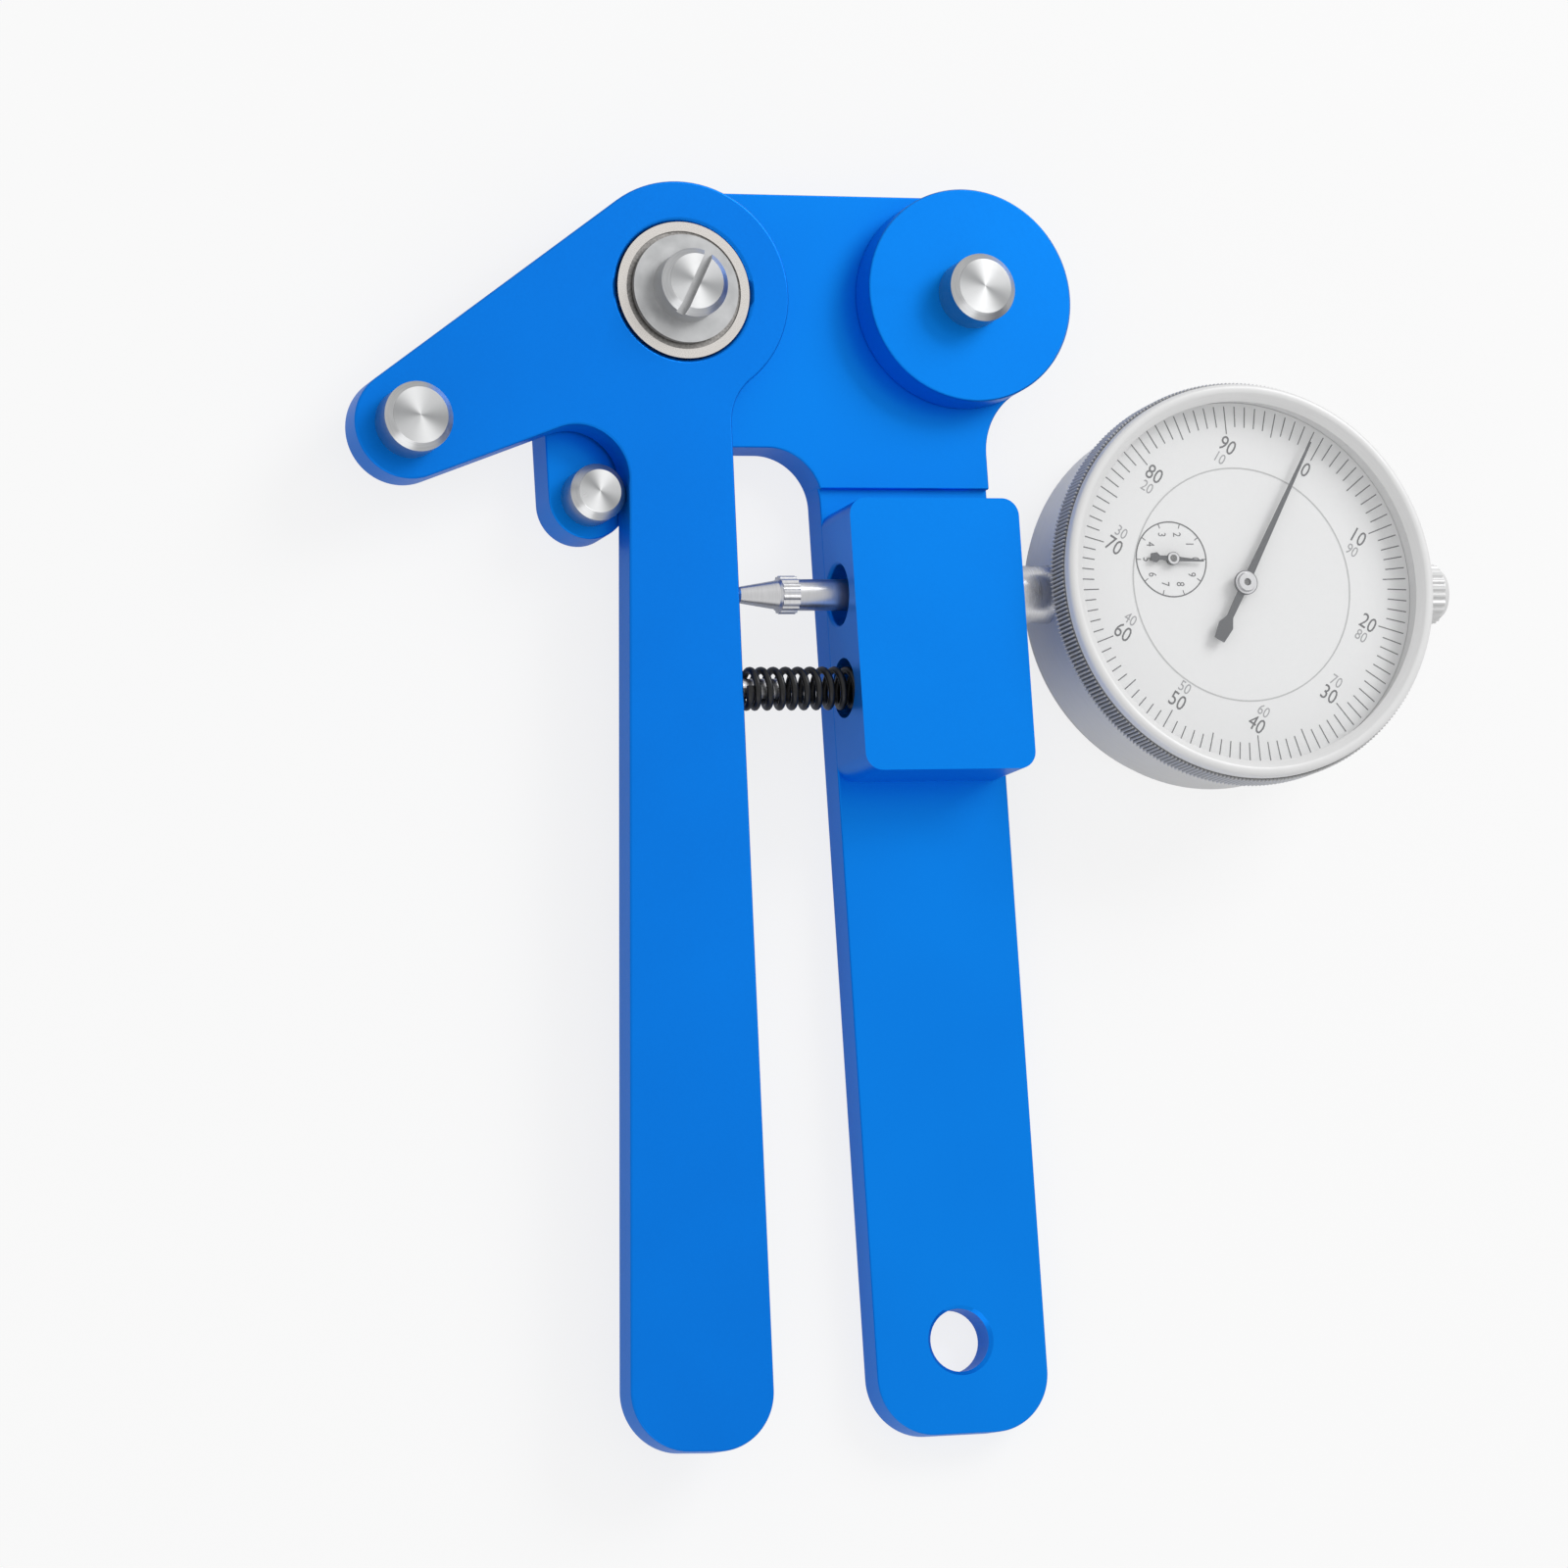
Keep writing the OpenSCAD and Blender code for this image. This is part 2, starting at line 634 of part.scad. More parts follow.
module gauge_case() {
  r_in = case_r - case_wall;
  color("lightgray") difference() {
    at_hub(0) rotate_extrude($fn = 128)
      polygon([
        [r_in, cover_top], [case_r - 0.6, cover_top],
        [case_r, cover_top + 0.6], [case_r, case_rim], [neck_out, case_rim],
        [neck_out, neck_top], [neck_in, neck_top], [neck_in, case_rim - 1.5],
        [r_in, case_rim - 1.5]
      ]);
    along_x(gauge_x - case_r - over) cylinder(h = 2 * case_r + 2 * over, d = stem_d);
  }
}

module case_back_cover() {
  color("silver") difference() {
    at_hub(case_lift) cylinder(h = cover_t, r = case_r - 0.6, $fn = 128);
    for (p = cover_screw_places) translate([p[0], p[1], case_lift - over])
      cylinder(h = cover_t + 2 * over, d = cover_screw_d + 2 * fit);
  }
}

cover_screw_ring = case_r - case_wall - 3.2;
cover_screw_places = [for (a = [45 : 90 : 315]) hub + dir(a) * cover_screw_ring];

module cover_screws() {
  color("gray") for (p = cover_screw_places) translate([p[0], p[1], case_lift + 0.1])
    difference() {
      cylinder(h = cover_t + cover_screw_in, r = cover_screw_d / 2 - fit / 2, $fn = 32);
      translate([-over * 2, -0.25, -over]) cube([over * 4, 0.5, over + 0.5]);
    }
}

module gauge_stem() {
  inside = gauge_x - case_r + case_wall + 1;
  color("silver") along_x(stem_start) difference() {
    rotate_extrude()
      polygon([
        [0, 0], [stem_d / 2 - 0.3, 0], [stem_d / 2 - fit / 2, 0.3],
        [stem_d / 2 - fit / 2, inside - stem_start], [0, inside - stem_start]
      ]);
    translate([0, 0, -over]) cylinder(h = 100, d = spindle_d + 2 * fit);
  }
}

module cap_sleeve() {
  start = gauge_x + case_r - case_wall - 1;
  color("silver") along_x(start) difference() {
    cylinder(h = sleeve_end - start, d = stem_d - fit);
    translate([0, 0, -over]) cylinder(h = 100, d = spindle_d + 2 * fit);
  }
}

// ---------------------------------------------------------------- movement
plate_t = 0.6;
lower_z = axis_z + spindle_d / 2 + 0.2;
wheel_z = lower_z + plate_t + 0.4;
wheel_t = 0.6;
upper_z = wheel_z + wheel_t + 0.7;
pinion_r = rack_teeth * rack_pitch / (2 * PI);
arbor_r = 0.5;
plate_r = min(case_r - case_wall, neck_in) - plate_gap;
pillar_places = [
  for (s = [-1, 1]) each [
    hub + [0, s * (plate_r - pillar_inset)],
    hub + [s * (plate_r - side_pillar_inset), -side_pillar_drop]
  ]
];
pillar_r = 1.6;
rack_line = small_hand_rise - pinion_r;

module plate_outline() {
  translate(hub) circle(plate_r);
}

module lower_movement_plate() {
  color([0.8, 0.68, 0.35]) difference() {
    union() {
      translate([0, 0, lower_z]) linear_extrude(plate_t) plate_outline();
      for (p = pillar_places) translate([p[0], p[1], cover_top + fit])
        cylinder(h = upper_z - cover_top - fit, r = pillar_r);
    }
    translate([small_hub[0], small_hub[1], lower_z - over])
      cylinder(h = plate_t + 2 * over, r = pinion_r + 0.8);
    at_hub(lower_z + 0.25) cylinder(h = plate_t, r = arbor_r + fit);
  }
}

module upper_movement_plate() {
  color([0.8, 0.68, 0.35]) translate([0, 0, upper_z]) difference() {
    linear_extrude(plate_t) plate_outline();
    translate([hub[0], hub[1], -over]) cylinder(h = plate_t + 2 * over, r = arbor_r + fit);
    translate([small_hub[0], small_hub[1], -over])
      cylinder(h = plate_t + 2 * over, r = arbor_r + fit);
  }
}

// Rack pinion, wheel and the small hand's arbor, in one piece
wheel_phase = atan2(hub[1] - small_hub[1], hub[0] - small_hub[0]);
module rack_pinion_wheel() {
  color([0.85, 0.7, 0.35]) translate([small_hub[0], small_hub[1], 0]) {
    translate([0, 0, wheel_z]) linear_extrude(wheel_t) difference() {
      gear(wheel_module * wheel_teeth / 2, wheel_teeth, wheel_module, wheel_phase);
      for (a = [0 : 72 : 288]) rotate(a) translate([5.6, 0]) circle(2.2, $fn = 32);
    }
    translate([0, 0, axis_z - 1.6]) linear_extrude(wheel_z - axis_z + 1.6)
      gear(pinion_r, rack_teeth, rack_pitch / PI, -90);
    translate([0, 0, cover_top + fit])
      cylinder(h = dial_z + 0.9 - cover_top - fit, r = arbor_r, $fn = 32);
  }
}

module centre_pinion() {
  color([0.85, 0.7, 0.35]) at_hub(0) {
    translate([0, 0, wheel_z - 0.2]) linear_extrude(wheel_t + 0.6)
      gear(wheel_module * centre_teeth / 2, centre_teeth, wheel_module,
        wheel_phase + 180 + 180 / centre_teeth);
    translate([0, 0, lower_z + 0.3])
      cylinder(h = pointer_z + 0.5 - lower_z - 0.3, r = arbor_r, $fn = 32);
  }
}

// ---------------------------------------------------------------- dial, hands and bezel
pointer_z = dial_z + 1.1;
hand_t = 0.25;
ring_in = inner_dial_d / 2 + 0.15;
ring_out = neck_out + 0.7;
pointer_angle = 60;

module fixed_dial() {
  color("white") difference() {
    at_hub(dial_z - dial_t) cylinder(h = dial_t, d = inner_dial_d, $fn = 128);
    for (p = [hub, small_hub]) translate([p[0], p[1], dial_z - over])
      cylinder(h = 2 * over, r = arbor_r + 0.3, $fn = 32);
  }
  color("silver") for (a = [30 : 120 : 270]) translate(hub + dir(a) * (inner_dial_d / 2 - foot_inset))
    translate([0, 0, upper_z + plate_t])
      cylinder(h = dial_z - dial_t - upper_z - plate_t, r = 1);
}

module graduated_ring() {
  color("white") at_hub(dial_z - dial_t) difference() {
    cylinder(h = dial_t, r = ring_out, $fn = 128);
    translate([0, 0, -over]) cylinder(h = dial_t + 2 * over, r = ring_in, $fn = 128);
  }
}

// A hand: a tapered blade, a round hub and a short tail with a leaf-shaped weight
module hand(len, tail, w, hub_r) {
  difference() {
    union() {
      linear_extrude(hand_t) polygon([
        [-w / 2, 0], [-w / 8, len], [w / 8, len], [w / 2, 0], [w / 2.4, -tail * 0.6],
        [w, -tail * 0.75], [w * 0.7, -tail], [-w * 0.7, -tail], [-w, -tail * 0.75],
        [-w / 2.4, -tail * 0.6]
      ]);
      cylinder(h = hand_t + 0.15, r = hub_r, $fn = 48);
    }
    translate([0, 0, -over]) cylinder(h = 3 * over, r = arbor_r + 0.02, $fn = 32);
  }
}

module main_pointer() {
  color("dimgray") at_hub(pointer_z) rotate([0, 0, pointer_angle - 90]) {
    hand(pointer_len, 9.2, 1.1, 1.7);
    difference() {
      cylinder(h = 0.8, r1 = 1.5, r2 = 1.2, $fn = 48);
      translate([0, 0, -over]) cylinder(h = 3 * over, r = arbor_r + 0.02, $fn = 32);
    }
  }
}

module small_pointer() {
  color("dimgray") translate([small_hub[0], small_hub[1], dial_z + 0.5]) rotate([0, 0, -94])
    hand(4.6, 3.3, 0.7, 0.9);
}

bezel_r = bezel_d / 2;
bezel_low = case_rim + 0.1;
glass_r = ring_out + 0.5;
glass_z = dial_z + 2.0;
glass_t = 0.8;

module bezel() {
  body_r = bezel_r - knurl_depth;
  knurl_h = 3.6;
  color("whitesmoke") at_hub(0) {
    rotate_extrude($fn = 128)
      polygon([
        [neck_out + 0.1, bezel_low], [body_r, bezel_low], [body_r, bezel_top - 1.6],
        [body_r - 0.3, bezel_top - 0.5], [body_r - 0.9, bezel_top],
        [ring_out - 0.5, bezel_top], [ring_out - 0.5, glass_z + glass_t + 0.1],
        [glass_r + 0.1, glass_z + glass_t + 0.1], [glass_r + 0.1, glass_z],
        [ring_out + 0.1, glass_z], [ring_out + 0.1, dial_z - dial_t],
        [neck_out + 0.1, dial_z - dial_t]
      ]);
    translate([0, 0, bezel_low + 0.4]) linear_extrude(knurl_h) difference() {
      ribbed(bezel_r, knurl_depth, knurl_count);
      circle(body_r - 0.4, $fn = 128);
    }
  }
}

module crystal() {
  color([0.9, 0.95, 1, 0.3]) at_hub(glass_z)
    cylinder(h = glass_t, r = glass_r, $fn = 128);
}

// ---------------------------------------------------------------- plunger
tip_x = lever_right_x(gauge_drop) + 0.1;
collar_x = tip_x + tip_len;
collar_len = 2.4;
collar_r = spindle_d / 2 + 0.45;
spindle_start = collar_x + collar_len;
cap_start = sleeve_end + seat;
gaps_before = 13;
rack_n = 24;
rack_x0 = small_hub[0] - (gaps_before + 0.5) * rack_pitch;
rack_x1 = rack_x0 + rack_n * rack_pitch;

module spindle() {
  m = rack_pitch / PI;
  r = spindle_d / 2;
  top = rack_line + 0.9 * m;
  root = rack_line - 1.25 * m;
  color("silver") difference() {
    along_x(spindle_start) cylinder(h = cap_start + 2 - spindle_start, r = r);
    translate([rack_x0, -gauge_drop + top, axis_z - r - over])
      cube([rack_x1 - rack_x0, r, 2 * (r + over)]);
    translate([0, -gauge_drop, axis_z - r - over]) linear_extrude(2 * (r + over))
      for (i = [0 : rack_n - 1]) translate([rack_gap_x(i), 0])
        polygon([
          [-0.20 * rack_pitch, root], [-0.40 * rack_pitch, top + 0.01],
          [0.40 * rack_pitch, top + 0.01], [0.20 * rack_pitch, root]
        ]);
  }
}

// Places of the gaps in the rack: one lies under the pinion's lowest tooth
function rack_gap_x(i) = small_hub[0] + (i - gaps_before) * rack_pitch;

module contact_point() {
  color("silver") {
    along_x(tip_x) rotate_extrude()
      polygon([
        for (a = [0 : 15 : 75]) [1.15 * sin(a), 1.15 * (1 - cos(a)) * 0.6],
        [1.2, 1.0], [collar_r - 0.6, tip_len - 0.3], [collar_r - 0.2, tip_len + 0.1],
        [0, tip_len + 0.1]
      ]);
    along_x(collar_x) linear_extrude(collar_len) ribbed(collar_r, 0.18, 18);
  }
}

module spindle_cap() {
  r = cap_d / 2;
  color("whitesmoke") along_x(cap_start) difference() {
    union() {
      translate([0, 0, 0.6]) linear_extrude(cap_len - 1.6) ribbed(r, 0.25, 24);
      rotate_extrude()
        polygon([
          [0, 0], [r - 0.5, 0], [r - 0.25, 0.4], [r - 0.25, cap_len - 0.9],
          [r - 1.0, cap_len], [0, cap_len]
        ]);
    }
    translate([0, 0, -over]) cylinder(h = over + 2.3, d = spindle_d + fit);
  }
}

frame_plate();
spacer_disc();
right_spoke_post();
stop_post();
pivot_post();
pivot_shim();
bearing_inner_ring();
bearing_outer_ring();
bearing_shield();
bearing_balls();
ball_cage();
lever_plate();
left_spoke_post();
spring_guide_pin();
return_spring();
gauge_block();
block_screws();
stem_grub_screw();
gauge_stem();
gauge_case();
case_back_cover();
cover_screws();
cap_sleeve();
lower_movement_plate();
upper_movement_plate();
rack_pinion_wheel();
centre_pinion();
fixed_dial();
graduated_ring();
main_pointer();
small_pointer();
bezel();
crystal();
spindle();
contact_point();
spindle_cap();
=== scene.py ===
"""A spoke tension meter on a white bench: its finishes, eased edges, spring and dial print."""
import math

import bmesh
import bpy
from mathutils import Matrix, Vector


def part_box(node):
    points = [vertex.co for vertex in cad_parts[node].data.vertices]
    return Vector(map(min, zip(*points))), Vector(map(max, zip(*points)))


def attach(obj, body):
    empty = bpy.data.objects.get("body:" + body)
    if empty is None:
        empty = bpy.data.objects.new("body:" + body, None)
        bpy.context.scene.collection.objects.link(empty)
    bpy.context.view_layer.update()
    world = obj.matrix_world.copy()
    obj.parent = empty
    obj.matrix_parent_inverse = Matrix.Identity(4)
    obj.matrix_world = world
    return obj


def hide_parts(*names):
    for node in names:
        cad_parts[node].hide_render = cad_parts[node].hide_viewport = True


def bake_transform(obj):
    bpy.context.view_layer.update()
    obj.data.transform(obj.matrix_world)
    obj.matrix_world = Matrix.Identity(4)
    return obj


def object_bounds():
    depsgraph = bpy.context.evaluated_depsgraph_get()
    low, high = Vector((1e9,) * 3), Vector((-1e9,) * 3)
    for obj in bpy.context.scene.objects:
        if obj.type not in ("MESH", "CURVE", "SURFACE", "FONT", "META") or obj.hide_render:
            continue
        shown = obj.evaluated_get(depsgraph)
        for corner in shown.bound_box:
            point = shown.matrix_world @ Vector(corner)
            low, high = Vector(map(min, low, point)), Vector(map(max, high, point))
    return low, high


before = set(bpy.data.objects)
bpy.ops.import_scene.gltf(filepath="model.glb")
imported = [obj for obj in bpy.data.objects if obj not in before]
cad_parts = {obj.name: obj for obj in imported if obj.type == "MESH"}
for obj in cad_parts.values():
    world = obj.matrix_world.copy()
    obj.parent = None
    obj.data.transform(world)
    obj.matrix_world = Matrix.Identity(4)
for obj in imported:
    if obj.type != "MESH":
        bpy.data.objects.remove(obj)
cad_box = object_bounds()

MM = 0.001
SCENE = bpy.context.scene

INK = 0.03 * MM                 # how thick the print is on the dial
INK_SUNK = 0.005 * MM           # how far it goes into the dial
ZERO_AT = math.radians(55.8)    # where the dial's zero stands, from the X axis
ONE_LINE = 3.6                  # degrees from one graduation to the next
MARK_DEPTH = 0.003 * MM         # how deep working marks lie in metal

# How noise is stretched for marks that run one way
RINGS_ROUND_Z = (0.04, 0.04, 1)
RINGS_ROUND_X = (1, 0.04, 0.04)
BRUSHED_ALONG_X = (0.05, 1, 1)


# ------------------------------------------------------------------ finishes: how they are written
class Value:
    """A socket's value in a finish, on which Python's operators add the Math nodes."""

    def __init__(self, finish, socket):
        self.finish = finish
        self.socket = socket

    def output(self, name):
        """Another output of the same node, by its number or name."""
        return Value(self.finish, self.socket.node.outputs[name])

    def math(self, operation, *others):
        return self.finish.math(operation, self, *others)

    def __add__(self, other):
        return self.math("ADD", other)

    def __radd__(self, other):
        return self.math("ADD", other)

    def __sub__(self, other):
        return self.math("SUBTRACT", other)

    def __rsub__(self, other):
        return self.finish.math("SUBTRACT", other, self)

    def __mul__(self, other):
        return self.math("MULTIPLY", other)

    def __rmul__(self, other):
        return self.math("MULTIPLY", other)

    def clamped(self):
        return self.finish.node("ShaderNodeClamp", {}, {0: self})

    def edge(self, soft):
        """0 up to zero, then rising to 1 over that width."""
        return (self * (1 / soft)).clamped()

    def across(self, other):
        """The distance from an axis, from the two distances across it."""
        return (self * self + other * other).math("SQRT")


class Finish:
    """The nodes of one finish, built from expressions on the place of a point of the object."""

    def __init__(self, tree):
        self.tree = tree
        tree.nodes.clear()

    def node(self, kind, settings, inputs, output=0):
        made = self.tree.nodes.new(kind)
        for key, setting in settings.items():
            setattr(made, key, setting)
        for key, given in inputs.items():
            if isinstance(given, Value):
                self.tree.links.new(given.socket, made.inputs[key])
            else:
                made.inputs[key].default_value = given
        return Value(self, made.outputs[output]) if made.outputs else None

    def math(self, operation, *operands):
        return self.node("ShaderNodeMath", {"operation": operation}, dict(enumerate(operands)))

    def place(self, centre=(0, 0, 0), stretch=(1, 1, 1)):
        """Object coordinates, taken from a centre and stretched."""
        here = self.node("ShaderNodeTexCoord", {}, {}, "Object")
        moved = self.node("ShaderNodeVectorMath", {"operation": "SUBTRACT"}, {0: here, 1: centre})
        return self.node("ShaderNodeVectorMath", {"operation": "MULTIPLY"}, {0: moved, 1: stretch})

    def axes(self, centre=(0, 0, 0)):
        """The three coordinates, taken from a centre."""
        x = self.node("ShaderNodeSeparateXYZ", {}, {0: self.place(centre)})
        return x, x.output(1), x.output(2)

    def noise(self, size, detail=2.0, stretch=(1, 1, 1)):
        """Noise from 0 to 1 whose features are about that size, in metres."""
        return self.node(
            "ShaderNodeTexNoise", {},
            {"Vector": self.place(stretch=stretch), "Scale": 1 / size, "Detail": detail},
        )

    def mix(self, factor, first, second):
        """A colour between two colours, each of them written out or already mixed."""
        first, second = (
            colour if isinstance(colour, Value) else (*colour, 1) for colour in (first, second)
        )
        return self.node(
            "ShaderNodeMix", {"data_type": "RGBA"}, {0: factor, 6: first, 7: second}, 2
        )

    def relief(self, height, depth):
        """A bump of that depth, in metres, from a height between 0 and 1."""
        return self.node(
            "ShaderNodeBump", {}, {"Height": height, "Strength": 1.0, "Distance": depth}
        )


def surface(name, build):
    """A material from a function that gives the shader's inputs."""
    material = bpy.data.materials.new(name)
    material.use_nodes = True
    finish = Finish(material.node_tree)
    shader = finish.node("ShaderNodeBsdfPrincipled", {}, build(finish))
    finish.node("ShaderNodeOutputMaterial", {}, {"Surface": shader})
    return material


# ------------------------------------------------------------------ finishes: what they are
def blue_anodised(deep, light):
    """Dyed aluminium: a fine grain under a slow drift between a deep and a light blue."""
    grain_size, cloud_size, grain_depth = 0.25 * MM, 28 * MM, 0.005 * MM

    def build(finish):
        grain = finish.noise(grain_size, 3.0)
        cloud = finish.noise(cloud_size)
        return {
            "Base Color": finish.mix((0.75 * cloud + 0.25 * grain).clamped(), deep, light),
            "Metallic": 0.6,
            "Specular IOR Level": 0.12,
            "Roughness": 0.3 + 0.1 * grain,
            "Normal": finish.relief(grain, grain_depth),
        }

    return build


def turned_steel(centre, top, sheen_sweep):
    """A post faced on a lathe: a painted highlight on its end, in bright and dull sectors round
    the post, and fine lines round its side.
    """
    end_deep, end_soft = 0.06 * MM, 0.03 * MM
    ring_step, line_size, relief_depth = 0.16 * MM, 0.12 * MM, 0.004 * MM
    narrow_at = sheen_sweep + 20
    dull, bright = (0.26, 0.265, 0.27), (0.73, 0.735, 0.74)

    def build(finish):
        x, y, z = finish.axes(centre)
        # painted highlight: the end is coloured bright and dull by the angle round the post,
        # standing for the reflection that a faced end shows
        angle = finish.math("ARCTAN2", y, x)
        broad = (2 * (angle - math.radians(sheen_sweep))).math("COSINE")
        narrow = (4 * (angle - math.radians(narrow_at))).math("COSINE")
        painted_sheen = (0.5 + 0.38 * broad + 0.14 * narrow).clamped()
        end = (z - (top - end_deep)).edge(end_soft)
        rings = (x.across(y) * (2 * math.pi / ring_step)).math("SINE")
        lines = finish.noise(line_size, 2.0, (0.05, 0.05, 1))
        side = 0.15 + 0.4 * lines
        relief = 0.5 + 0.5 * (end * rings)
        return {
            "Base Color": finish.mix((end * painted_sheen + (1 - end) * side).clamped(), dull, bright),
            "Metallic": 1.0,
            "Roughness": 0.25 + 0.1 * lines,
            "Normal": finish.relief(relief + 0.3 * lines, relief_depth),
        }

    return build


def worked_metal(dull, bright, rough, line=0.15 * MM, stretch=(1, 1, 1), metallic=1.0):
    """Metal with fine working marks, whose run is set by the stretch."""
    tone_size = 6 * MM

    def build(finish):
        marks = finish.noise(line, 3.0, stretch)
        tone = finish.noise(tone_size)
        return {
            "Base Color": finish.mix((0.2 * tone + 0.8 * marks).clamped(), dull, bright),
            "Metallic": metallic,
            "Roughness": rough + 0.12 * marks,
            "Normal": finish.relief(marks, MARK_DEPTH),
        }

    return build


def lacquer(dull, bright, rough):
    """Paint with a faint orange peel."""
    peel_size, peel_depth = 0.6 * MM, 0.002 * MM

    def build(finish):
        peel = finish.noise(peel_size)
        return {
            "Base Color": finish.mix(peel, dull, bright),
            "Roughness": rough + 0.1 * peel,
            "Normal": finish.relief(peel, peel_depth),
        }

    return build


def hand_lacquer(hub, hub_r):
    """A dark hand with a bare steel hub."""
    hub_soft, wear_size = 0.05 * MM, 0.3 * MM
    dark, steel = (0.075, 0.078, 0.085), (0.56, 0.56, 0.57)

    def build(finish):
        x, y, _ = finish.axes(hub)
        bare = (hub_r - x.across(y)).edge(hub_soft)
        return {
            "Base Color": finish.mix(bare, dark, steel),
            "Metallic": 0.9 * bare,
            "Roughness": 0.42 - 0.15 * bare + 0.08 * finish.noise(wear_size),
        }

    return build


def brass_on_steel_arbor(dial_top):
    """A brass gear whose steel arbor is painted near black where it comes through the dial, as
    painted shade of the hand's centre hole.
    """
    mark_size, arbor_soft = 0.15 * MM, 0.05 * MM

    def build(finish):
        marks = finish.noise(mark_size, 3.0)
        _, _, z = finish.axes()
        # painted shade: above the dial the arbor's steel is coloured near black, for the shade of
        # the hand's centre hole
        arbor = (z - dial_top).edge(arbor_soft)
        brass = finish.mix(marks, (0.60, 0.44, 0.16), (0.82, 0.66, 0.33))
        steel = finish.mix(marks, (0.10, 0.10, 0.10), (0.22, 0.22, 0.22))
        return {
            "Base Color": finish.mix(arbor, brass, steel),
            "Metallic": 1.0,
            "Roughness": 0.22 + 0.12 * marks,
            "Normal": finish.relief(marks, MARK_DEPTH),
        }

    return build


def knurled_satin(hub, crest, band):
    """Pale satin metal with painted shade, a dark grey, in the grooves of its knurled band."""
    low, high = band
    soft, groove_deep, knurl_deep, mark_size = 0.1 * MM, 0.4 * MM, 0.7 * MM, 0.12 * MM
    # the pale metal, and the dark grey of the painted shade in the grooves
    pale, grey = (0.80, 0.80, 0.80), (0.16, 0.16, 0.16)

    def build(finish):
        x, y, z = finish.axes(hub)
        radius = x.across(y)
        above = (z - low).edge(soft)
        below = (high - z).edge(soft)
        outside = (radius - (crest - knurl_deep)).edge(soft)
        # painted shade: the grooves of the knurled band are coloured dark grey where shade falls
        # in them
        groove_shade = (crest - radius).edge(groove_deep) * above * below * outside
        turned = finish.noise(mark_size, 3.0, RINGS_ROUND_Z)
        return {
            "Base Color": finish.mix((0.9 * groove_shade + 0.1 * turned).clamped(), pale, grey),
            "Metallic": 0.1,
            "Specular IOR Level": 0.3,
            "Roughness": 0.34 + 0.12 * turned,
            "Normal": finish.relief(turned, MARK_DEPTH),
        }

    return build


def clear_lens(finish):
    """A clear window with a trace of dust."""
    dust = finish.noise(1.5 * MM)
    return {"Base Color": (0.96, 0.98, 1.0, 1), "Alpha": 0.05, "Roughness": 0.03 + 0.03 * dust}


# ------------------------------------------------------------------ making pieces
def piece(name, form, body, material, smooth=math.radians(40)):
    """An object from a bmesh, riding on a body, or on none."""
    mesh = bpy.data.meshes.new(name)
    form.to_mesh(mesh)
    form.free()
    mesh.shade_smooth()
    mesh.set_sharp_from_angle(angle=smooth)
    made = bpy.data.objects.new(name, mesh)
    SCENE.collection.objects.link(made)
    mesh.materials.append(material)
    if body:
        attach(made, body)
    return made


def with_edges_and_faces(verts):
    """Some vertices together with every edge and face that they carry."""
    return (
        list(verts)
        + list({edge for vert in verts for edge in vert.link_edges})
        + list({face for vert in verts for face in vert.link_faces})
    )


def eased_plate(node, body, material):
    """A plate with its sharp outer edges broken by a small round."""
    ease, same_point = 0.35 * MM, 0.002 * MM
    flat, sharp_from = math.radians(0.5), math.radians(60)
    form = bmesh.new()
    form.from_mesh(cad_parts[node].data)
    bmesh.ops.remove_doubles(form, verts=form.verts, dist=same_point)
    bmesh.ops.dissolve_limit(form, angle_limit=flat, verts=form.verts, edges=form.edges)
    sharp = [
        edge for edge in form.edges
        if len(edge.link_faces) == 2 and edge.is_convex and edge.calc_face_angle() > sharp_from
    ]
    bmesh.ops.bevel(
        form, geom=sharp, offset=ease, offset_type="OFFSET", segments=3, profile=0.5,
        affect="EDGES", material=-1, clamp_overlap=True,
    )
    made = piece(node + "_eased", form, body, material)
    even = made.modifiers.new("even_normals", "WEIGHTED_NORMAL")
    even.keep_sharp = True
    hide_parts(node)


def turned_ring(form, centre, corners, steps=96):
    """A ring turned round the vertical, from the corners (radius, height) of its section."""
    same_point = 0.0005 * MM
    verts = [form.verts.new(centre + Vector((r, 0, z))) for r, z in corners]
    edges = [form.edges.new((verts[i - 1], verts[i])) for i in range(len(verts))]
    bmesh.ops.spin(
        form, geom=verts + edges, cent=centre, axis=(0, 0, 1), angle=2 * math.pi, steps=steps,
        use_merge=True,
    )
    bmesh.ops.remove_doubles(form, verts=form.verts, dist=same_point)
    bmesh.ops.recalc_face_normals(form, faces=form.faces)


def ring_on_dial(form, centre, r_in, r_out, low, high):
    """A flat printed ring, as a spun rectangle."""
    turned_ring(form, centre, [(r_in, low), (r_out, low), (r_out, high), (r_in, high)])


def tick(form, centre, angle, r_in, r_out, width, height):
    """One printed graduation on a radius of the dial."""
    place = (
        Matrix.Translation(centre) @ Matrix.Rotation(angle, 4, "Z")
        @ Matrix.Translation(((r_in + r_out) / 2, 0, 0))
        @ Matrix.Diagonal((r_out - r_in, width, height, 1))
    )
    bmesh.ops.create_cube(form, size=1, matrix=place)


